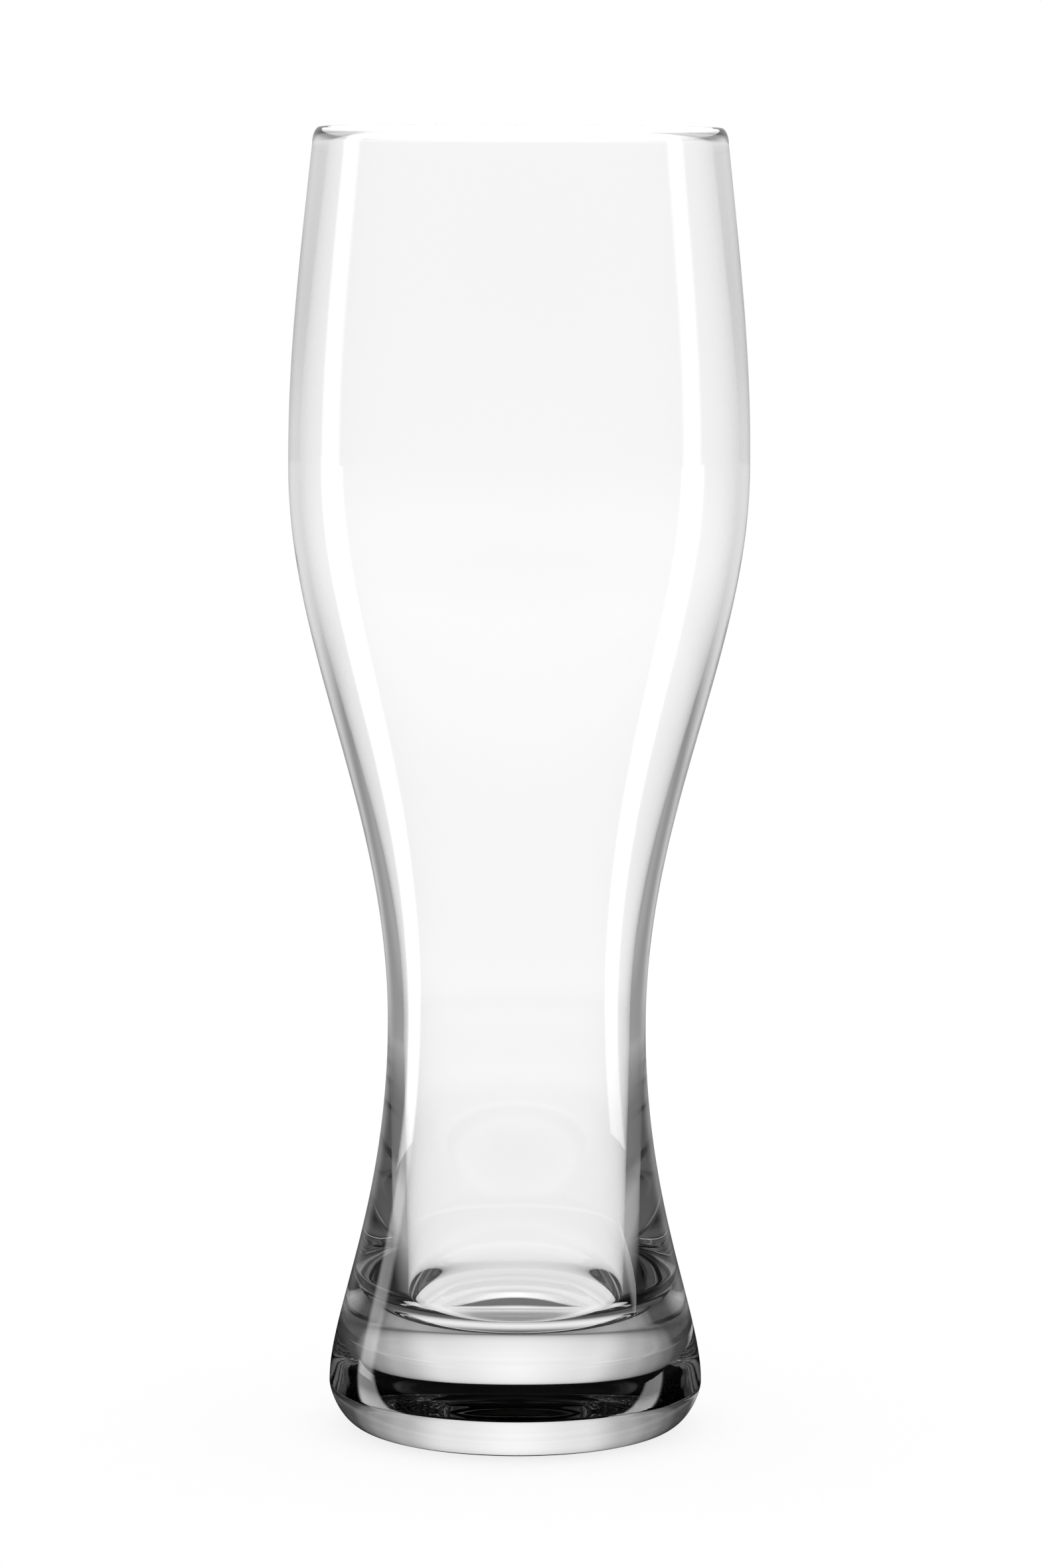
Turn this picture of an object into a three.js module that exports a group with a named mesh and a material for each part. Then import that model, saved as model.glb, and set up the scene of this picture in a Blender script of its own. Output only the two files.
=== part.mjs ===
// Half-litre wheat beer glass in clear soda-lime glass: a wide belly, a slim waist and a heavy flared foot.
// It is one fused piece of glass in use, modelled as the zones that a glassmaker names: rim, mouth, belly, waist
// and base. Each zone is a closed solid turned about Z, and neighbours meet face to face on a level seam.
// Millimetres, +Z up, origin on the table at the centre of the foot.

import * as THREE from 'three';

// Heights above the table.
const HEIGHT = 241.5;
const LIP_HEIGHT = 3; // rounded edge of the mouth, above the rim seam
const BELLY_HEIGHT = 179.5; // level of the widest ring
const WAIST_SEAM_HEIGHT = 116; // where the belly's taper passes into the waist
const WAIST_HEIGHT = 76; // level of the narrowest ring
const FOOT_HEIGHT = 8.25; // level of the foot's widest ring
const FLOOR_HEIGHT = 19.75; // inside floor of the well

// Outside radii.
const RIM_RADIUS = 38.1;
const BELLY_RADIUS = 42.5;
const WAIST_RADIUS = 24;
const FOOT_RADIUS = 34.8;
const BEARING_RADIUS = 27.7; // outer edge of the flat ring that stands on the table

// Glass thicknesses and the inside of the well.
const RIM_WALL = 2.8;
const LIP_CREST_INSET = 1.5; // crest of the rounded edge, in from the outside
const BELLY_WALL = 1.9;
const WAIST_WALL = 2.9;
const WELL_RADIUS = 21.1; // inside, just above the floor's rounded corner
const FLOOR_CORNER_RADIUS = 6.25;

// Shallow hollow under the foot.
const PUNT_RADIUS = 18;
const PUNT_DEPTH = 1.2;

// How far the wall leans out, going down from the mouth.
const MOUTH_TAPER = THREE.MathUtils.degToRad(6.3);

// Fullness of the contour: the share of the way to the next ring for which the wall keeps its direction.
const MOUTH_FULLNESS = 0.44;
const BELLY_FULLNESS_ABOVE = 0.32;
const BELLY_FULLNESS_BELOW = 0.335;
const WAIST_FULLNESS_ABOVE = 0.386;
const WAIST_FULLNESS_BELOW = 0.514;
const FOOT_FULLNESS_ABOVE = 0.192;
const HEEL_FULLNESS_ABOVE = 0.19;
const HEEL_FULLNESS_BELOW = 0.69;

// Fineness of the facets.
const STEPS_ROUND = 48;
const WALL_STEP = 6; // greatest height of a facet along the wall
const HEEL_STEPS = 8;
const CORNER_STEPS = 5;
const PUNT_STEPS = 5;
const LIP_STEPS = 5; // on each side of the crest

const RIM_SEAM_HEIGHT = HEIGHT - LIP_HEIGHT;
const BASE_SEAM_HEIGHT = FLOOR_HEIGHT + FLOOR_CORNER_RADIUS;

const point = (radius, height) => new THREE.Vector2(radius, height);

// A smooth stretch of wall from one ring down to a lower one. The wall leaves the upper ring with the given
// lean and arrives upright; the shares say how long it keeps each direction.
function wallStretch(upper, lower, shareUpper, shareLower, lean = 0) {
  const span = upper.y - lower.y;
  const leaving = point(upper.x + shareUpper * span * Math.tan(lean), upper.y - shareUpper * span);
  const arriving = point(lower.x, lower.y + shareLower * span);
  return new THREE.CubicBezierCurve(upper, leaving, arriving, lower);
}

const outerRim = point(RIM_RADIUS, RIM_SEAM_HEIGHT);
const outerBelly = point(BELLY_RADIUS, BELLY_HEIGHT);
const outerWaist = point(WAIST_RADIUS, WAIST_HEIGHT);
const outerFoot = point(FOOT_RADIUS, FOOT_HEIGHT);
const outerWall = [
  wallStretch(outerRim, outerBelly, MOUTH_FULLNESS, BELLY_FULLNESS_ABOVE, MOUTH_TAPER),
  wallStretch(outerBelly, outerWaist, BELLY_FULLNESS_BELOW, WAIST_FULLNESS_ABOVE),
  wallStretch(outerWaist, outerFoot, WAIST_FULLNESS_BELOW, FOOT_FULLNESS_ABOVE),
];

const innerRim = point(RIM_RADIUS - RIM_WALL, RIM_SEAM_HEIGHT);
const innerBelly = point(BELLY_RADIUS - BELLY_WALL, BELLY_HEIGHT);
const innerWaist = point(WAIST_RADIUS - WAIST_WALL, WAIST_HEIGHT);
const innerWell = point(WELL_RADIUS, BASE_SEAM_HEIGHT);
const innerWall = [
  wallStretch(innerRim, innerBelly, MOUTH_FULLNESS, BELLY_FULLNESS_ABOVE, MOUTH_TAPER),
  wallStretch(innerBelly, innerWaist, BELLY_FULLNESS_BELOW, WAIST_FULLNESS_ABOVE),
  wallStretch(innerWaist, innerWell, WAIST_FULLNESS_BELOW, FOOT_FULLNESS_ABOVE),
];

// Point of a wall at a given height, found by halving the stretch that holds it.
function wallPoint(wall, height) {
  const stretch = wall.find((curve) => height >= curve.v3.y) ?? wall.at(-1);
  let above = 0;
  let below = 1;
  const halvings = 40;
  for (let i = 0; i < halvings; i += 1) {
    const middle = (above + below) / 2;
    if (stretch.getPoint(middle).y > height) above = middle;
    else below = middle;
  }
  return point(stretch.getPoint(below).x, height);
}

// Points of a wall from one level to another, both ends included.
function wallPoints(wall, from, to) {
  const steps = Math.ceil(Math.abs(to - from) / WALL_STEP);
  const levels = Array.from({ length: steps + 1 }, (_, i) => (i === steps ? to : from + ((to - from) * i) / steps));
  return levels.map((height) => wallPoint(wall, height));
}

// Points of an oval arc about a centre, from one angle to another, both ends included.
function arcPoints(center, radiusAcross, radiusUp, fromAngle, toAngle, steps) {
  return Array.from({ length: steps + 1 }, (_, i) => {
    const angle = fromAngle + ((toAngle - fromAngle) * i) / steps;
    return point(center.x + radiusAcross * Math.cos(angle), center.y + radiusUp * Math.sin(angle));
  });
}

function glass() {
  return new THREE.MeshStandardMaterial({
    color: '#eef1f0',
    roughness: 0.03,
    metalness: 0,
    transparent: true,
    opacity: 0.3,
  });
}

// Turns a section about Z. The section runs up the outside and down the inside, seen from the axis outwards.
function turned(name, section) {
  const geometry = new THREE.LatheGeometry(section, STEPS_ROUND);
  geometry.rotateX(Math.PI / 2);
  const mesh = new THREE.Mesh(geometry, glass());
  mesh.name = name;
  return mesh;
}

// A wall zone between two level seams.
function wallZone(name, low, high) {
  const section = [...wallPoints(outerWall, low, high), ...wallPoints(innerWall, high, low)];
  return turned(name, [...section, section[0]]);
}

// The lip: the wall's end, rounded over by the melted edge in two quarter ovals that meet at its crest.
function rim() {
  const crestFoot = point(RIM_RADIUS - LIP_CREST_INSET, RIM_SEAM_HEIGHT);
  const insideWidth = RIM_WALL - LIP_CREST_INSET;
  const outside = arcPoints(crestFoot, LIP_CREST_INSET, LIP_HEIGHT, 0, Math.PI / 2, LIP_STEPS);
  const inside = arcPoints(crestFoot, insideWidth, LIP_HEIGHT, Math.PI / 2, Math.PI, LIP_STEPS).slice(1);
  outside[0] = outerRim;
  inside[LIP_STEPS - 1] = innerRim;
  return turned('rim', [...outside, ...inside, outside[0]]);
}

// The foot: hollow underside, bearing ring, heel, flared side, and the well's floor with its rounded corner.
function base() {
  const domeRadius = (PUNT_RADIUS ** 2 + PUNT_DEPTH ** 2) / (2 * PUNT_DEPTH);
  const domeCenter = point(0, PUNT_DEPTH - domeRadius);
  const edgeAngle = Math.atan2(-domeCenter.y, PUNT_RADIUS);
  const punt = arcPoints(domeCenter, domeRadius, domeRadius, Math.PI / 2, edgeAngle, PUNT_STEPS);
  punt[0] = point(0, PUNT_DEPTH);
  punt[PUNT_STEPS] = point(PUNT_RADIUS, 0);

  const heelWidth = FOOT_RADIUS - BEARING_RADIUS;
  const heel = new THREE.CubicBezierCurve(
    point(BEARING_RADIUS, 0),
    point(BEARING_RADIUS + HEEL_FULLNESS_BELOW * heelWidth, 0),
    point(FOOT_RADIUS, FOOT_HEIGHT * (1 - HEEL_FULLNESS_ABOVE)),
    outerFoot,
  ).getPoints(HEEL_STEPS);
  const side = wallPoints(outerWall, FOOT_HEIGHT, BASE_SEAM_HEIGHT).slice(1);

  const cornerCenter = point(WELL_RADIUS - FLOOR_CORNER_RADIUS, BASE_SEAM_HEIGHT);
  const corner = arcPoints(cornerCenter, FLOOR_CORNER_RADIUS, FLOOR_CORNER_RADIUS, 0, -Math.PI / 2, CORNER_STEPS);
  corner[0] = innerWell;
  corner[CORNER_STEPS] = point(cornerCenter.x, FLOOR_HEIGHT);
  return turned('base', [...punt, ...heel, ...side, ...corner, point(0, FLOOR_HEIGHT)]);
}

const beerGlass = new THREE.Group();
beerGlass.add(
  rim(),
  wallZone('mouth', BELLY_HEIGHT, RIM_SEAM_HEIGHT),
  wallZone('belly', WAIST_SEAM_HEIGHT, BELLY_HEIGHT),
  wallZone('waist', BASE_SEAM_HEIGHT, WAIST_SEAM_HEIGHT),
  base(),
);

export default beerGlass;
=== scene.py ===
# %% [markdown]
# # A wheat beer glass, blown in clear glass
#
# The object is one empty half-litre wheat beer glass: a wide belly, a slim waist and a heavy flared foot.
# The measured solids come first. They hold the real size and never move, so everything below is drawn
# around them, in metres, with +Z up and the origin on the table under the glass.

# %% Load the measured solids
import math

import bpy
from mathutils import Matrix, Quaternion, Vector


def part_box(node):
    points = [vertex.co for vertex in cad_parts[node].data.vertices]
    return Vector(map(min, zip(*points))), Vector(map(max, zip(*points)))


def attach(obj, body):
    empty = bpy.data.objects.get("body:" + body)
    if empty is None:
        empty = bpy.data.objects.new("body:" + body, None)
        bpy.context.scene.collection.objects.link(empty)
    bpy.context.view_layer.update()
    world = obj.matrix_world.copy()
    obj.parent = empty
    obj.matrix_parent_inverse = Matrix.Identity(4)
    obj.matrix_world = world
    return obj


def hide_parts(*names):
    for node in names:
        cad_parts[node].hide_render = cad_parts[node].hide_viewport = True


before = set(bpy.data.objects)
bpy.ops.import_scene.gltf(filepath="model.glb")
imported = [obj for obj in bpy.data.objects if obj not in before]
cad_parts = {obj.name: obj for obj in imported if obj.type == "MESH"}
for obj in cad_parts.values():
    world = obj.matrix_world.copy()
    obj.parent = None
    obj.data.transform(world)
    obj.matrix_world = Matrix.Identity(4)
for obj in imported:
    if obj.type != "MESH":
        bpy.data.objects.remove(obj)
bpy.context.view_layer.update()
scene = bpy.context.scene
print("solids:", ", ".join(sorted(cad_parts)))

# %% [markdown]
# The Standard view shows a colour about as it is written. A film-like view would grey the white background
# that a clear glass needs behind it.

# %% Plain colours
scene.view_settings.view_transform = "Standard"
print("view:", scene.view_settings.view_transform)

# %% [markdown]
# ## The main sizes
#
# The contour turns at a few rings. Where the box of a solid shows a ring, it is read from there: the lip,
# the widest ring of the belly, the seam above the well's corner and the width of the foot. A box hides what
# lies between its faces, so the waist, the level of the foot's widest ring and the bearing ring are written
# out.

# %% Rings of the contour
MM = 0.001
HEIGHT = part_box("rim")[1].z
RIM_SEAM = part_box("rim")[0].z
RIM_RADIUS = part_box("rim")[1].x
BELLY_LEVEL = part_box("mouth")[0].z
BELLY_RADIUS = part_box("belly")[1].x
WELL_CORNER_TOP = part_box("waist")[0].z
FOOT_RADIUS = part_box("base")[1].x
WAIST_LEVEL = 76 * MM
WAIST_RADIUS = 24 * MM
FOOT_LEVEL = 8.25 * MM
BEARING_RADIUS = 27.7 * MM
ring_radii = (RIM_RADIUS, BELLY_RADIUS, WAIST_RADIUS, FOOT_RADIUS)
print("rim, belly, waist, foot radii:", [round(radius / MM, 2) for radius in ring_radii], "mm")

# %% [markdown]
# The thickness of the wall isn't seen directly. It follows from how such a glass is blown: thinnest where it
# was blown out furthest, thicker at the waist and at the melted lip. The well's floor lies high above the
# table, and the clear mass under it makes the foot heavy and bends what is seen through it.

# %% Thickness of the glass
RIM_WALL = 2.8 * MM
LIP_CREST_INSET = 1.5 * MM
BELLY_WALL = 1.9 * MM
WAIST_WALL = 2.9 * MM
WELL_RADIUS = 21.1 * MM
FLOOR_LEVEL = 19.75 * MM
FLOOR_CORNER = WELL_CORNER_TOP - FLOOR_LEVEL
PUNT_RADIUS = 18 * MM
PUNT_DEPTH = 1.2 * MM
print("well floor at", round(FLOOR_LEVEL / MM, 2), "mm, corner radius", round(FLOOR_CORNER / MM, 2), "mm")

# %% [markdown]
# ## The section
#
# A blown glass is a body of revolution, so half of its section says everything. It could be traced with many
# points, but a fire-softened wall is fair and free of kinks, and a few cubic curves between the rings give
# just that. Each stretch arrives at its lower ring upright, so the next one goes on without a kink.

# %% Curves of the section
WALL_STEPS = 48


def bend(start, leave, arrive, end, steps):
    """Points of a cubic curve from start to end, both included."""
    points = []
    for i in range(steps + 1):
        t = i / steps
        s = 1 - t
        points.append(s**3 * start + 3 * s * s * t * leave + 3 * s * t * t * arrive + t**3 * end)
    return points


def wall_stretch(upper, lower, keep_upper, keep_lower, lean):
    """A stretch of wall that keeps its direction for a share of the height at each end."""
    span = upper.y - lower.y
    leave = Vector((upper.x + keep_upper * span * math.tan(lean), upper.y - keep_upper * span))
    arrive = Vector((lower.x, lower.y + keep_lower * span))
    return bend(upper, leave, arrive, lower, WALL_STEPS)


def oval_arc(center, across, up, from_angle, to_angle, steps):
    """Points of an oval arc, both ends included."""
    angles = [from_angle + (to_angle - from_angle) * i / steps for i in range(steps + 1)]
    return [center + Vector((across * math.cos(a), up * math.sin(a))) for a in angles]


print("a stretch of wall has", WALL_STEPS + 1, "points")

# %% [markdown]
# The outside and the inside follow the same rings, set apart by the thickness of the wall. Both use the same
# shares, so the wall changes its thickness slowly, as drawn glass does. Only the mouth leaves its upper ring
# with a lean, because the glass widens from there down.

# %% Outside and inside of the wall
MOUTH_LEAN = math.radians(6.3)
# How long a stretch keeps its direction, as shares of its height: at its upper ring and at its lower ring.
FULLNESS = {"mouth": (0.44, 0.32), "belly": (0.335, 0.386), "waist": (0.514, 0.192)}


def wall(rim_radius, belly_radius, waist_radius, end):
    """The wall from the rim seam down to its end ring."""
    rings = [
        Vector((rim_radius, RIM_SEAM)),
        Vector((belly_radius, BELLY_LEVEL)),
        Vector((waist_radius, WAIST_LEVEL)),
        end,
    ]
    leans = {"mouth": MOUTH_LEAN}
    points = rings[:1]
    for i, (zone, (above, below)) in enumerate(FULLNESS.items()):
        points += wall_stretch(rings[i], rings[i + 1], above, below, leans.get(zone, 0.0))[1:]
    return points


outside = wall(RIM_RADIUS, BELLY_RADIUS, WAIST_RADIUS, Vector((FOOT_RADIUS, FOOT_LEVEL)))
inside = wall(
    RIM_RADIUS - RIM_WALL,
    BELLY_RADIUS - BELLY_WALL,
    WAIST_RADIUS - WAIST_WALL,
    Vector((WELL_RADIUS, WELL_CORNER_TOP)),
)
print("wall points:", len(outside), "outside,", len(inside), "inside")

# %% [markdown]
# The lip is the wall's end, melted round. A flame softens the cut edge until it flows into two quarter ovals
# that meet at a crest. A bevel could round it too, but not as an oval.

# %% Lip
LIP_STEPS_OUTSIDE = 14
LIP_STEPS_INSIDE = 10
crest_foot = Vector((RIM_RADIUS - LIP_CREST_INSET, RIM_SEAM))
crest_to_inside = RIM_WALL - LIP_CREST_INSET
lip_height = HEIGHT - RIM_SEAM
lip_outside = oval_arc(crest_foot, LIP_CREST_INSET, lip_height, 0, math.pi / 2, LIP_STEPS_OUTSIDE)
lip_inside = oval_arc(crest_foot, crest_to_inside, lip_height, math.pi / 2, math.pi, LIP_STEPS_INSIDE)
lip = lip_outside + lip_inside[1:]
print("lip:", len(lip), "points,", round(lip_height / MM, 2), "mm high")

# %% [markdown]
# The foot rests on a narrow flat ring. Its heel is rounded, so that it doesn't chip, and its middle is a
# shallow dome, so that the glass doesn't rock on an uneven table.

# %% Heel and hollow underside
HEEL_KEEP_SIDE = 0.19
HEEL_KEEP_UNDER = 0.69
HEEL_STEPS = 32
HOLLOW_STEPS = 24
heel = bend(
    Vector((FOOT_RADIUS, FOOT_LEVEL)),
    Vector((FOOT_RADIUS, FOOT_LEVEL * (1 - HEEL_KEEP_SIDE))),
    Vector((BEARING_RADIUS + HEEL_KEEP_UNDER * (FOOT_RADIUS - BEARING_RADIUS), 0)),
    Vector((BEARING_RADIUS, 0)),
    HEEL_STEPS,
)
dome_radius = (PUNT_RADIUS**2 + PUNT_DEPTH**2) / (2 * PUNT_DEPTH)
dome_center = Vector((0, PUNT_DEPTH - dome_radius))
dome_edge = math.atan2(-dome_center.y, PUNT_RADIUS)
hollow = oval_arc(dome_center, dome_radius, dome_radius, dome_edge, math.pi / 2, HOLLOW_STEPS)
print("heel:", len(heel), "points; dome radius", round(dome_radius / MM, 1), "mm")

# %% [markdown]
# Inside, the wall turns into the well's floor through a rounded corner. The floor gets a few rings of its
# own, because long thin faces that all meet at one point in the middle would shade badly.

# %% Floor of the well
CORNER_STEPS = 20
FLOOR_RINGS = 12
corner_center = Vector((WELL_RADIUS - FLOOR_CORNER, WELL_CORNER_TOP))
corner = oval_arc(corner_center, FLOOR_CORNER, FLOOR_CORNER, 0, -math.pi / 2, CORNER_STEPS)
flat_radius = corner[-1].x
ring_shares = [1 - i / FLOOR_RINGS for i in range(1, FLOOR_RINGS + 1)]
well_floor = [Vector((flat_radius * share, FLOOR_LEVEL)) for share in ring_shares]
print("well:", len(corner), "points in the corner, flat floor radius", round(flat_radius / MM, 2), "mm")

# %% [markdown]
# One closed section runs from the middle of the underside, up the outside, over the lip and down the inside
# to the middle of the floor. Light bends at every glass face that it meets, so the glass is one unbroken
# skin: faces between the zones would show as cuts in it.

# %% The closed section
section = hollow[::-1] + heel[::-1] + outside[::-1][1:] + lip[1:] + inside[1:] + corner[1:] + well_floor
print("section:", len(section), "points")

# %% [markdown]
# A Screw modifier could turn the section. Written out as rings, it gets one clean point at each end of the
# axis and needs no merging, so the mesh is closed. Many steps round keep the edges of the glass smooth,
# since even a slight facet shows in what is mirrored.

# %% Turn the section
STEPS_ROUND = 240


def turned(name, points, steps):
    """A closed mesh turned about Z. The first and the last point lie on the axis."""
    rings = points[1:-1]
    vertices = [(0, 0, points[0].y), (0, 0, points[-1].y)]
    on_axis = len(vertices)
    for p in rings:
        for j in range(steps):
            a = 2 * math.pi * j / steps
            vertices.append((p.x * math.cos(a), p.x * math.sin(a), p.y))

    def at(ring, j):
        return on_axis + ring * steps + j % steps

    last = len(rings) - 1
    faces = [(0, at(0, j + 1), at(0, j)) for j in range(steps)]
    for i in range(last):
        faces += [(at(i, j), at(i, j + 1), at(i + 1, j + 1), at(i + 1, j)) for j in range(steps)]
    faces += [(1, at(last, j), at(last, j + 1)) for j in range(steps)]
    mesh = bpy.data.meshes.new(name)
    mesh.from_pydata(vertices, [], faces)
    mesh.shade_smooth()
    piece = bpy.data.objects.new(name, mesh)
    scene.collection.objects.link(piece)
    return piece


glass = turned("glass", section, STEPS_ROUND)
print("glass:", len(glass.data.vertices), "vertices,", len(glass.data.polygons), "faces")

# %% [markdown]
# ## The finish
#
# Fire polish leaves soda-lime glass clear and almost perfectly smooth. What tells it from a perfect solid is
# a slow ripple of the surface, seen as a slight wander of the edges behind it, and a breath of haze from
# washing. The ripple could be modelled, but a bump is enough for something so shallow. The haze is a little
# roughness. Each has a noise of its own.

# %% Clear glass
REFRACTION = 1.52
RIPPLE_SCALE = 110
RIPPLE_DETAIL = 1
RIPPLE_STRENGTH = 0.008
RIPPLE_DEPTH = 1 * MM
HAZE_SCALE = 45
HAZE_DETAIL = 4
HAZE_BEGINS = 0.4
HAZE_FULL = 0.75
HAZE_ROUGHNESS = 0.04


def noise(tree, place, scale, detail):
    """A cloudy pattern on the piece, from 0 to 1."""
    node = tree.nodes.new("ShaderNodeTexNoise")
    node.inputs["Scale"].default_value = scale
    node.inputs["Detail"].default_value = detail
    tree.links.new(place, node.inputs["Vector"])
    return node.outputs["Fac"]


def clear_glass():
    """Colourless glass with a faint ripple and a breath of haze."""
    material = bpy.data.materials.new("clear_glass")
    material.use_nodes = True
    tree = material.node_tree
    shader = tree.nodes["Principled BSDF"]
    shader.inputs["Base Color"].default_value = (1, 1, 1, 1)
    shader.inputs["IOR"].default_value = REFRACTION
    shader.inputs["Transmission Weight"].default_value = 1
    place = tree.nodes.new("ShaderNodeTexCoord").outputs["Object"]
    ripple = tree.nodes.new("ShaderNodeBump")
    ripple.inputs["Strength"].default_value = RIPPLE_STRENGTH
    ripple.inputs["Distance"].default_value = RIPPLE_DEPTH
    tree.links.new(noise(tree, place, RIPPLE_SCALE, RIPPLE_DETAIL), ripple.inputs["Height"])
    tree.links.new(ripple.outputs["Normal"], shader.inputs["Normal"])
    haze = tree.nodes.new("ShaderNodeMapRange")
    haze.inputs["From Min"].default_value = HAZE_BEGINS
    haze.inputs["From Max"].default_value = HAZE_FULL
    haze.inputs["To Max"].default_value = HAZE_ROUGHNESS
    tree.links.new(noise(tree, place, HAZE_SCALE, HAZE_DETAIL), haze.inputs["Value"])
    tree.links.new(haze.outputs["Result"], shader.inputs["Roughness"])
    return material


glass.data.materials.append(clear_glass())
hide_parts("rim", "mouth", "belly", "waist", "base")
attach(glass, "root")
print("finish:", glass.data.materials[0].name)

# %% [markdown]
# ## The studio
#
# A clear glass shows only what stands around it. White behind it makes it bright, and darkness at the sides
# draws its edges. Real studios hang white sheets and dark screens for this. Here each of them is a curve of
# brightness by direction, one for each way in which light meets the glass. A colour ramp draws such a curve
# with few stops.

# %% Curves of brightness
def grey_ramp(tree, place, stops, between="LINEAR"):
    """A brightness that runs through (place, brightness) stops."""
    node = tree.nodes.new("ShaderNodeValToRGB")
    node.color_ramp.interpolation = between
    elements = node.color_ramp.elements
    while len(elements) < len(stops):
        elements.new(0.5)  # moved to its own place below
    for element, (position, value) in zip(elements, stops):
        element.position = position
        element.color = (value, value, value, 1)
    tree.links.new(place, node.inputs["Fac"])
    return node.outputs["Color"]


# Degrees from straight behind the glass, left negative, and the brightness there: the light of a white sheet
# in the world, and a painted pool of light where the paper uses it.
WHITE_SHEET = [(-52, 0.06), (-45, 0.2), (-37, 0.34), (-28, 0.48), (-15, 0.8), (0, 0.97), (15, 0.83),
               (28, 0.52), (37, 0.38), (45, 0.24), (52, 0.07)]
# Where the paper uses a curve, the curve is painted light and shade on the paper, which glows with it.
CURVES = {
    # World and far paper, straight through the solid foot.
    "Through": [(-180, 0.2), (-125, 0.2), (-110, 1.0), (-75, 1.0), (-63, 0.06), (-52, 0.07), (-45, 0.16),
                (-37, 0.28), (-28, 0.44), (-15, 0.82), (0, 1.0), (15, 0.84), (28, 0.48), (37, 0.33),
                (45, 0.2), (52, 0.07), (70, 0.04), (110, 0.1), (120, 0.9), (150, 0.9), (160, 0.1),
                (180, 0.1)],
    # Ceiling, in light thrown back inside the glass.
    "Behind": [(-180, 0.03), (-70, 0.03), *WHITE_SHEET, (70, 0.03), (180, 0.03)],
    # Painted pool of light on the near paper, straight through the solid foot.
    "Painted wedge": [(-180, 0.9), (-115, 0.85), (-75, 0.03), *WHITE_SHEET, (75, 0.03), (115, 0.85), (180, 0.9)],
    # World and paper, in light thrown back more than twice.
    "Lost": [(-180, 0.5), (-150, 0.35), (-120, 0.05), (-75, 0.05), (-50, 1), (50, 1), (75, 0.35),
             (150, 0.35), (180, 0.5)],
    # World and far paper, mirrored by the outside.
    "Mirrored": [(-180, 0.03), (-45, 0.05), (-25, 0.5), (25, 0.5), (45, 0.05), (180, 0.03)],
    # Two bright lines painted on the paper as reflections of the soft boxes, mirrored by the outside.
    "Painted lines": [(-180, 0), (-83, 0), (-80, 3), (-66, 3), (-63, 0), (74, 0), (77, 3), (90, 3), (93, 0),
              (180, 0)],
}
print("curves:", ", ".join(CURVES))

# %% [markdown]
# One node group holds the curves, so that the world and the floor agree where they meet.

# %% Brightness round the glass
def studio_round():
    """Direction in, brightnesses out: by the angle from straight behind the glass."""
    group = bpy.data.node_groups.new("studio_round", "ShaderNodeTree")
    group.interface.new_socket("Direction", in_out="INPUT", socket_type="NodeSocketVector")
    nodes, links = group.nodes, group.links
    start, end = nodes.new("NodeGroupInput"), nodes.new("NodeGroupOutput")
    split = nodes.new("ShaderNodeSeparateXYZ")
    angle = nodes.new("ShaderNodeMath")
    angle.operation = "ARCTAN2"
    share = nodes.new("ShaderNodeMapRange")
    share.inputs["From Min"].default_value = -math.pi
    share.inputs["From Max"].default_value = math.pi
    links.new(start.outputs["Direction"], split.inputs[0])
    links.new(split.outputs["X"], angle.inputs[0])
    links.new(split.outputs["Y"], angle.inputs[1])
    links.new(angle.outputs[0], share.inputs["Value"])
    for name, curve in CURVES.items():
        group.interface.new_socket(name, in_out="OUTPUT", socket_type="NodeSocketFloat")
        stops = [((degrees + 180) / 360, value) for degrees, value in curve]
        links.new(grey_ramp(group, share.outputs["Result"], stops, "EASE"), end.inputs[name])
    return group


STUDIO = studio_round()
print("studio:", len(STUDIO.nodes), "nodes")

# %% [markdown]
# The studio's node trees add, multiply and mix many brightnesses. Three small helpers each place one node
# and return its output, so that the recipes below read like formulas. A fourth one, which they use, takes a
# socket or a number alike.

# %% Helpers for brightness
def feed(tree, slot, value):
    """Links a socket to a slot, or writes a number on it."""
    if isinstance(value, bpy.types.NodeSocket):
        tree.links.new(value, slot)
    else:
        slot.default_value = value


def calculated(tree, operation, first, second=0.0):
    """A math node on two values; either is a socket or a number."""
    node = tree.nodes.new("ShaderNodeMath")
    node.operation = operation
    feed(tree, node.inputs[0], first)
    feed(tree, node.inputs[1], second)
    return node.outputs[0]


def mixed(tree, factor, first, second):
    """A mix of two values; either is a socket or a number."""
    node = tree.nodes.new("ShaderNodeMix")
    node.data_type = "FLOAT"
    feed(tree, node.inputs["Factor"], factor)
    feed(tree, node.inputs["A"], first)
    feed(tree, node.inputs["B"], second)
    return node.outputs["Result"]


def faded(tree, value, none, full):
    """0 at the first value, 1 at the second one, smooth between."""
    node = tree.nodes.new("ShaderNodeMapRange")
    node.interpolation_type = "SMOOTHSTEP"
    node.inputs["From Min"].default_value = none
    node.inputs["From Max"].default_value = full
    tree.links.new(value, node.inputs["Value"])
    return node.outputs["Result"]


print("helpers: feed, calculated, mixed, faded")

# %% [markdown]
# The Light Path node tells the ways apart. It counts how often a ray went through a glass face: twice for
# the solid foot, four times for two walls with the hollow between them. It also counts how often a ray was
# thrown back inside the glass. A mix clamps its factor, so any count from one up picks B.

# %% Which light is seen
SOLID_PASSES = 2
MOST_THROWN = 2


def seen_in_glass(tree, mirrored, solid, hollow, thrown, lost):
    """Picks a brightness by what the ray has met in the glass."""
    path = tree.nodes.new("ShaderNodeLightPath")
    passed, turned_back = path.outputs["Transmission Depth"], path.outputs["Glossy Depth"]
    clear = mixed(tree, calculated(tree, "SUBTRACT", passed, SOLID_PASSES), solid, hollow)
    back = mixed(tree, calculated(tree, "SUBTRACT", turned_back, MOST_THROWN), thrown, lost)
    inside_glass = mixed(tree, turned_back, clear, back)
    return mixed(tree, passed, mirrored, inside_glass)


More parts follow.
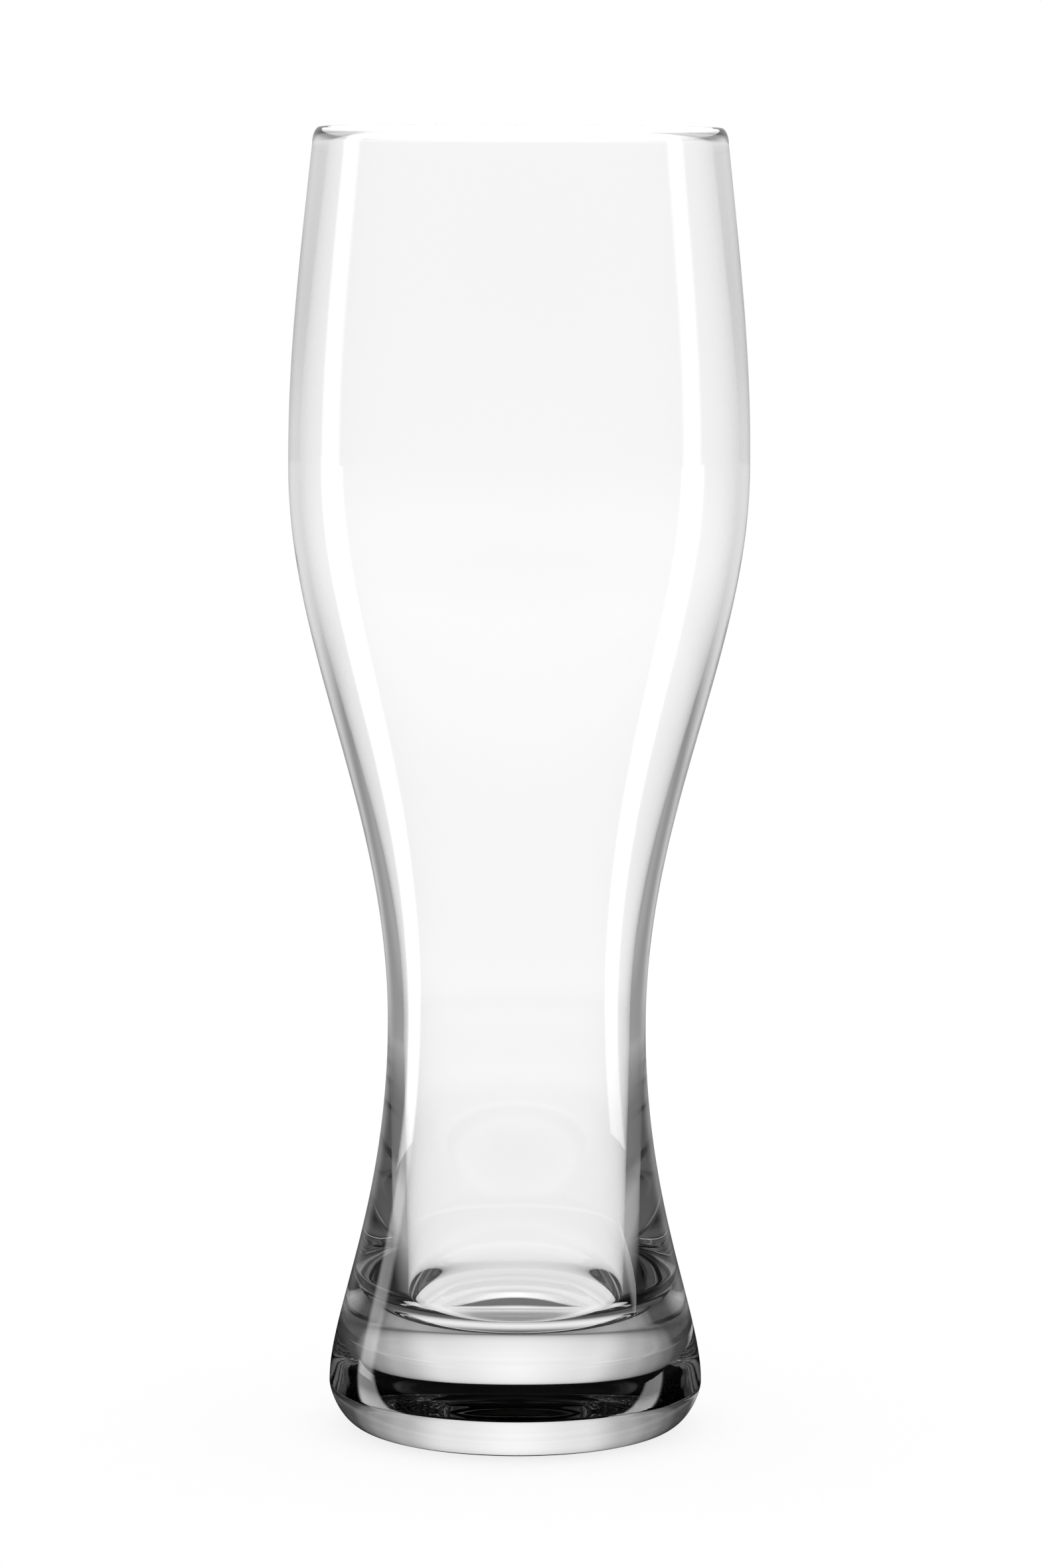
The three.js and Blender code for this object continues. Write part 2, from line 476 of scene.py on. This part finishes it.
def met_glass(tree):
    """1 for a ray that has met the glass, 0 for one straight from the camera or from the floor."""
    path = tree.nodes.new("ShaderNodeLightPath")
    return calculated(tree, "MAXIMUM", path.outputs["Is Glossy Ray"], path.outputs["Is Transmission Ray"])


print("ways through the glass: mirrored, solid, hollow, thrown, lost")

# %% [markdown]
# The world is plain white to the camera, so that the glass stands on white. In the glass it fades with
# height: the dark above the horizon makes the black bar low in the foot. A pale strip in the ceiling behind
# lights the floor of the well.

# %% World
WHITE_IN_GLASS = 0.98
ZENITH = 90
# Degrees above the horizon, and the brightness there.
HEIGHTS = {
    "Solid": [(0, 1), (28, 0.98), (34, 0.8), (42, 0.2), (50, 0.05), (ZENITH, 0.02)],
    "Ceiling": [(0, 0), (58, 0), (60.5, 1), (62, 1), (63.5, 0.5), (66, 0.5), (68, 1.2), (75, 1.3), (79, 0)],
    "Low": [(0, 0.85), (11, 0.75), (20, 0.6), (29, 0.6), (35, 0.05), (ZENITH, 0.02)],
    "Lost": [(0, 0.6), (5, 0.45), (9, 0.15), (16, 0.15), (22, 0.02), (35, 0.004), (ZENITH, 0.004)],
}


def studio_world():
    """White for the camera, and a brightness by direction and height for light that has met the glass."""
    world = bpy.data.worlds.new("studio")
    world.use_nodes = True
    scene.world = world
    tree = world.node_tree
    background = tree.nodes["Background"]
    background.inputs["Color"].default_value = (1, 1, 1, 1)
    direction = tree.nodes.new("ShaderNodeTexCoord").outputs["Generated"]
    around = tree.nodes.new("ShaderNodeGroup")
    around.node_tree = STUDIO
    split = tree.nodes.new("ShaderNodeSeparateXYZ")
    tree.links.new(direction, around.inputs["Direction"])
    tree.links.new(direction, split.inputs[0])
    share = calculated(tree, "DIVIDE", calculated(tree, "ARCSINE", split.outputs["Z"]), math.pi / 2)
    up = {}
    for name, stops in HEIGHTS.items():
        up[name] = grey_ramp(tree, share, [(degrees / ZENITH, value) for degrees, value in stops])
    solid = calculated(tree, "MULTIPLY", around.outputs["Through"], up["Solid"])
    ceiling = calculated(tree, "MULTIPLY", around.outputs["Behind"], up["Ceiling"])
    thrown = calculated(tree, "ADD", ceiling, up["Low"])
    lost = calculated(tree, "MULTIPLY", around.outputs["Lost"], up["Lost"])
    seen = seen_in_glass(tree, around.outputs["Mirrored"], solid, WHITE_IN_GLASS, thrown, lost)
    tree.links.new(mixed(tree, met_glass(tree), 1.0, seen), background.inputs["Strength"])
    return world


print("world:", studio_world().name)

# %% [markdown]
# The floor is white paper. What the glass shows of it is a painted glow that changes with the distance from
# the axis:
# painted shade under the hollow, pale under the bearing ring, and painted shade again where the heel would
# shade the paper. Each way through the glass has its own rings. A ramp is a table with a fixed number of
# places, so a formula gives the near rings most of them.

# %% Painted shade rings on the paper
# Millimetres from the axis, and the painted brightness of the paper there, with its painted shade.
PAINTED_SHADE_RINGS = {
    "Solid": [(0, 0.14), (10, 0.36), (17, 0.85), (24, 0.9), (30, 0.5), (40, 0.3), (53, 0.75), (57, 0.4),
              (60, 0.15), (64, 0.6), (70, 0.92), (80, 1)],
    "Hollow": [(0, 0.3), (5, 0.3), (10, 0.36), (17, 0.97), (28, 1.03), (34, 0.8), (42, 0.9), (60, 1),
               (170, 1), (270, 1.05), (465, 1.05), (585, 1.02), (800, 1.04), (1100, 1.08), (1450, 1.08),
               (2000, 1.03), (3000, WHITE_IN_GLASS)],
    "Thrown": [(0, 0.08), (10, 0.26), (17, 0.78), (22, 0.95), (27, 0.7), (31, 0.15), (36, 0.02), (57, 0.03),
               (64, 0.2), (75, 0.45), (95, 0.45), (120, 0.2), (200, 0.2), (260, 0.28), (320, 0.36),
               (380, 0.42), (430, 0.34), (470, 0.34), (560, 0.55), (700, 0.75), (1000, 0.85)],
}
RINGS_MIDDLE = 150


def painted_ring_shade(tree, distance):
    """The painted shade rings' brightnesses at a distance in metres. The ramps' halfway place is at
    RINGS_MIDDLE.
    """
    beyond = calculated(tree, "ADD", distance, RINGS_MIDDLE * MM)
    share = calculated(tree, "DIVIDE", distance, beyond)
    rings = {}
    for name, stops in PAINTED_SHADE_RINGS.items():
        places = [(place / (place + RINGS_MIDDLE), value) for place, value in stops]
        rings[name] = grey_ramp(tree, share, places)
    return rings


print("rings:", ", ".join(f"{name} {len(stops)}" for name, stops in PAINTED_SHADE_RINGS.items()))

# %% [markdown]
# Seen through the solid foot, the paper has a painted pool of light in a wedge that opens away from the
# glass, as a white sheet between dark side screens would throw it. Painted light lies again in front of the
# glass, so that the foot is bright from behind too. A steep ray has come in through the mouth and out
# through one thin wall, so it sees white. The Layer Weight node tells how steep a ray is: its Facing is 0
# from straight above and 1 along the floor.

# %% Paper through the solid foot
# Tip of the wedge of painted light on the paper.
WEDGE_TIP = Vector((0, 0.043, 0))
# Metres from the axis between which one look passes into the next.
FOOT_EDGE = (0.03, 0.04)
FAR_PAPER = (0.2, 0.3)
# Facing between which a ray turns from low to steep.
STEEP_ON_NEAR = (0.4, 0.3)
STEEP_ON_FAR = (0.94, 0.88)


def brightness_about(tree, position, center):
    """The studio's brightnesses in the directions about a point on the floor."""
    shifted = tree.nodes.new("ShaderNodeVectorMath")
    shifted.operation = "SUBTRACT"
    shifted.inputs[1].default_value = center
    tree.links.new(position, shifted.inputs[0])
    around = tree.nodes.new("ShaderNodeGroup")
    around.node_tree = STUDIO
    tree.links.new(shifted.outputs[0], around.inputs["Direction"])
    return around.outputs


def solid_paper(tree, position, distance, around):
    """The paper's painted light seen straight through the solid foot, without its painted shade rings."""
    painted_wedge = brightness_about(tree, position, WEDGE_TIP)["Painted wedge"]
    facing = tree.nodes.new("ShaderNodeLayerWeight").outputs["Facing"]
    near_paper = mixed(tree, faded(tree, facing, *STEEP_ON_NEAR), painted_wedge, WHITE_IN_GLASS)
    far_paper = mixed(tree, faded(tree, facing, *STEEP_ON_FAR), around["Through"], WHITE_IN_GLASS)
    beyond_foot = mixed(tree, faded(tree, distance, *FAR_PAPER), near_paper, far_paper)
    return mixed(tree, faded(tree, distance, *FOOT_EDGE), 1.0, beyond_foot)


print("paper: wedge from", round(WEDGE_TIP.y / MM), "mm behind the axis")

# %% [markdown]
# The outside of the glass mirrors the paper as well: white far behind it, and two bright lines painted on it
# as reflections of the soft boxes, which go on from the soft boxes below. The painted lines begin outside
# the foot and are brightest there.

# %% Paper mirrored by the outside
# Where the two painted reflections of the soft boxes lie on the paper, and how bright they are.
LINES_MEET = Vector((0, -0.038, 0))
NEAR_LINES = 2.2
# Metres from the axis between which one look passes into the next.
LINES_BEGIN = (0.04, 0.06)
LINES_DIM = (0.06, 0.15)
MIRRORED_WHITE = (0.1, 0.5)


def mirrored_paper(tree, position, distance, around):
    """The paper mirrored by the outside: white far behind, and the two lines painted as reflections of the
    soft boxes.
    """
    far_white = calculated(tree, "MULTIPLY", around["Mirrored"], faded(tree, distance, *MIRRORED_WHITE))
    painted_lines = brightness_about(tree, position, LINES_MEET)["Painted lines"]
    nearer = mixed(tree, faded(tree, distance, *LINES_DIM), NEAR_LINES, 1.0)
    begun = calculated(tree, "MULTIPLY", nearer, faded(tree, distance, *LINES_BEGIN))
    return calculated(tree, "ADD", far_white, calculated(tree, "MULTIPLY", painted_lines, begun))


print("paper: mirrored lines meet", round(-LINES_MEET.y / MM), "mm in front of the axis")

# %% [markdown]
# All the ways now come together. Light that was thrown back more than twice has lost its way: under the foot
# it finds paper with painted shade, and beyond the foot it finds the painted rings of thrown light,
# brightest behind the glass.

# %% Paper as the glass shows it
AXIS = Vector((0, 0, 0))
# Brightness of the painted shade on the paper under the foot, for light that has lost its way.
PAINTED_SHADE_UNDER_FOOT = 0.1


def paper_in_glass(tree):
    """How bright the paper glows, with painted light and shade, to a ray that has met the glass."""
    position = tree.nodes.new("ShaderNodeNewGeometry").outputs["Position"]
    away = tree.nodes.new("ShaderNodeVectorMath")
    away.operation = "LENGTH"
    tree.links.new(position, away.inputs[0])
    distance = away.outputs["Value"]
    # The painted shade rings on the paper, by distance from the axis.
    ring = painted_ring_shade(tree, distance)
    around = brightness_about(tree, position, AXIS)
    mirrored = mirrored_paper(tree, position, distance, around)
    solid = calculated(tree, "MULTIPLY", solid_paper(tree, position, distance, around), ring["Solid"])
    lost_beyond = calculated(tree, "MULTIPLY", around["Lost"], ring["Thrown"])
    lost = mixed(tree, faded(tree, distance, *FOOT_EDGE), PAINTED_SHADE_UNDER_FOOT, lost_beyond)
    return seen_in_glass(tree, mirrored, solid, ring["Hollow"], ring["Thrown"], lost)


print("paper: seen mirrored, through the foot, through the hollow, thrown and lost")

# %% [markdown]
# To the camera the paper is mostly plain white, with a share of matt paint that takes the glass's soft
# shadow. A matt sheet alone would need strong lamps to come out white, and they would burn out the glass.

# %% Floor
FLOOR_SIZE = 6.0
AIR_GAP = 0.3 * MM
PLAIN_WHITE_SHARE = 0.75
PLAIN_WHITE = 1.05
MATT_WHITE = 0.9


def paper():
    """White paper, which glows with painted light and shade for light that has met the glass."""
    material = bpy.data.materials.new("paper")
    material.use_nodes = True
    tree = material.node_tree
    tree.nodes.remove(tree.nodes["Principled BSDF"])
    matt = tree.nodes.new("ShaderNodeBsdfDiffuse")
    matt.inputs["Color"].default_value = (MATT_WHITE, MATT_WHITE, MATT_WHITE, 1)
    white = tree.nodes.new("ShaderNodeEmission")
    white.inputs["Strength"].default_value = PLAIN_WHITE
    plain = tree.nodes.new("ShaderNodeMixShader")
    plain.inputs["Fac"].default_value = PLAIN_WHITE_SHARE
    tree.links.new(matt.outputs[0], plain.inputs[1])
    tree.links.new(white.outputs[0], plain.inputs[2])
    glow = tree.nodes.new("ShaderNodeEmission")
    tree.links.new(paper_in_glass(tree), glow.inputs["Strength"])
    pick = tree.nodes.new("ShaderNodeMixShader")
    tree.links.new(met_glass(tree), pick.inputs["Fac"])
    tree.links.new(plain.outputs[0], pick.inputs[1])
    tree.links.new(glow.outputs[0], pick.inputs[2])
    tree.links.new(pick.outputs[0], tree.nodes["Material Output"].inputs["Surface"])
    return material


def studio_floor():
    """One square sheet of paper, a hair under the glass."""
    mesh = bpy.data.meshes.new("floor")
    half = FLOOR_SIZE / 2
    corners = [(-half, -half, 0), (half, -half, 0), (half, half, 0), (-half, half, 0)]
    mesh.from_pydata(corners, [], [(0, 1, 2, 3)])
    mesh.materials.append(paper())
    floor = bpy.data.objects.new("floor", mesh)
    floor.location.z = -AIR_GAP
    scene.collection.objects.link(floor)
    return floor


print("floor:", studio_floor().name)

# %% [markdown]
# Two tall soft boxes stand at the sides and draw the white lines that run down the glass. Cloth in front of
# a lamp is dimmer towards its sides, so they fade there. A third, round one lies level just above the mouth
# and whitens the lip. Glass mirrors most at a grazing angle, so this one fades fast from its middle: else
# the ends of the lip, which mirror its far parts, would burn out. A ray that has passed into the glass finds
# all their light off.

# %% Light of a soft box
SIDES_ONLY = (1, 0, 0)
ALL_ROUND = (1, 1, 0)
# The lamp's face runs from 0 to 1 both ways.
LAMP_MIDDLE = (0.5, 0.5, 0)
# Distances from the middle, as shares of the face.
SOFT_SIDES = (0.5, 0.2)
BRIGHT_MIDDLE = 0.115
SOFT_EDGE = (0.5, 0.44)
# Halfway between a ray that has passed no face of the glass and one that has passed the first.
FIRST_PASS = 0.5


def soft_sides(tree, away):
    """Full in the middle, none at the sides."""
    return faded(tree, away, *SOFT_SIDES)


def bright_middle(tree, away):
    """Full in the middle, then less by the square of the distance, and none at the edge."""
    square = calculated(tree, "POWER", calculated(tree, "DIVIDE", BRIGHT_MIDDLE, away), 2)
    middle = calculated(tree, "MINIMUM", square, 1)
    return calculated(tree, "MULTIPLY", middle, faded(tree, away, *SOFT_EDGE))


def soft_light(light, ways, fade):
    """Makes a lamp fade away from its middle and shine only on the outside of the glass."""
    light.use_nodes = True
    tree = light.node_tree
    passed = tree.nodes.new("ShaderNodeLightPath").outputs["Transmission Depth"]
    outside_only = calculated(tree, "LESS_THAN", passed, FIRST_PASS)
    from_middle = tree.nodes.new("ShaderNodeVectorMath")
    from_middle.operation = "SUBTRACT"
    from_middle.inputs[1].default_value = LAMP_MIDDLE
    tree.links.new(tree.nodes.new("ShaderNodeNewGeometry").outputs["Parametric"], from_middle.inputs[0])
    along_ways = tree.nodes.new("ShaderNodeVectorMath")
    along_ways.operation = "MULTIPLY"
    along_ways.inputs[1].default_value = ways
    tree.links.new(from_middle.outputs[0], along_ways.inputs[0])
    away = tree.nodes.new("ShaderNodeVectorMath")
    away.operation = "LENGTH"
    tree.links.new(along_ways.outputs[0], away.inputs[0])
    strength = calculated(tree, "MULTIPLY", outside_only, fade(tree, away.outputs["Value"]))
    tree.links.new(strength, tree.nodes["Emission"].inputs["Strength"])


print("fades of the soft boxes: soft sides, bright middle")

# %% [markdown]
# A lamp's power spreads over its face, so the power is worked out from the brightness that its face should
# have. The boxes are hidden from the camera and from the paper: they should only show in the glass.

# %% Soft boxes
SIDE_BOX_TOP = 0.6
SIDE_RADIANCE = 3
TOP_RADIANCE = 22


def soft_box(name, shape, place, turn, width, height, radiance):
    """A flat lamp that only the outside of the glass mirrors."""
    light = bpy.data.lights.new(name, "AREA")
    light.shape = shape
    light.size = width
    light.size_y = height
    light.energy = radiance * math.pi * width * height
    lamp = bpy.data.objects.new(name, light)
    lamp.location = place
    lamp.rotation_euler = turn
    lamp.visible_camera = False
    lamp.visible_diffuse = False
    lamp.visible_transmission = False
    scene.collection.objects.link(lamp)
    return lamp


def side_box(name, degrees, distance, width, low):
    """A tall soft box at an angle from straight behind, facing the glass."""
    a = math.radians(degrees)
    place = (distance * math.sin(a), distance * math.cos(a), (low + SIDE_BOX_TOP) / 2)
    turn = (-math.pi / 2, 0, -a)
    lamp = soft_box(name, "RECTANGLE", place, turn, width, SIDE_BOX_TOP - low, SIDE_RADIANCE)
    soft_light(lamp.data, SIDES_ONLY, soft_sides)
    return lamp


def top_box(name, above_lip, width):
    """A round soft box that lies level above the mouth."""
    place = (0, 0, HEIGHT + above_lip)
    lamp = soft_box(name, "ELLIPSE", place, (0, 0, 0), width, width, TOP_RADIANCE)
    soft_light(lamp.data, ALL_ROUND, bright_middle)
    return lamp


boxes = [
    side_box("left_soft_box", degrees=-78, distance=0.327, width=0.104, low=0.0),
    side_box("right_soft_box", degrees=90, distance=0.330, width=0.092, low=0.075),
    top_box("top_soft_box", above_lip=0.048, width=0.46),
]
print("soft boxes:", ", ".join(box.name for box in boxes))

# %% [markdown]
# Light that enters a thick foot is thrown back and forth inside it before it leaves. A renderer that gives
# up after a few bounces paints such places black, so more bounces are allowed.

# %% Bounces
BOUNCES = 40
GLOSSY_BOUNCES = 24
scene.cycles.max_bounces = BOUNCES
scene.cycles.transmission_bounces = BOUNCES
scene.cycles.glossy_bounces = GLOSSY_BOUNCES
print("bounces:", scene.cycles.max_bounces)

# %% [markdown]
# ## The camera
#
# The photograph was taken from just above the mouth, with a long lens from a little over a metre away: the
# mouth is seen almost edge on, while the foot is seen from slightly above. The camera leans by a quarter of
# a degree.

# %% Camera
CAMERA_PLACE = Vector((0, -1.120, 0.2542))
CAMERA_AIM = Vector((0.0005, 0, 0.1205))
CAMERA_ROLL = math.radians(0.25)
SENSOR_MM = 36
LENS_MM = 139.8


def photo_camera():
    """The camera at the photograph's viewing angle."""
    data = bpy.data.cameras.new("camera")
    data.sensor_width = SENSOR_MM
    data.lens = LENS_MM
    camera = bpy.data.objects.new("camera", data)
    camera.location = CAMERA_PLACE
    camera.rotation_mode = "QUATERNION"
    roll = Quaternion((0, 0, 1), CAMERA_ROLL)
    camera.rotation_quaternion = (CAMERA_AIM - CAMERA_PLACE).to_track_quat("-Z", "Y") @ roll
    scene.collection.objects.link(camera)
    scene.camera = camera
    return camera


print("camera:", round(photo_camera().data.lens, 1), "mm lens")
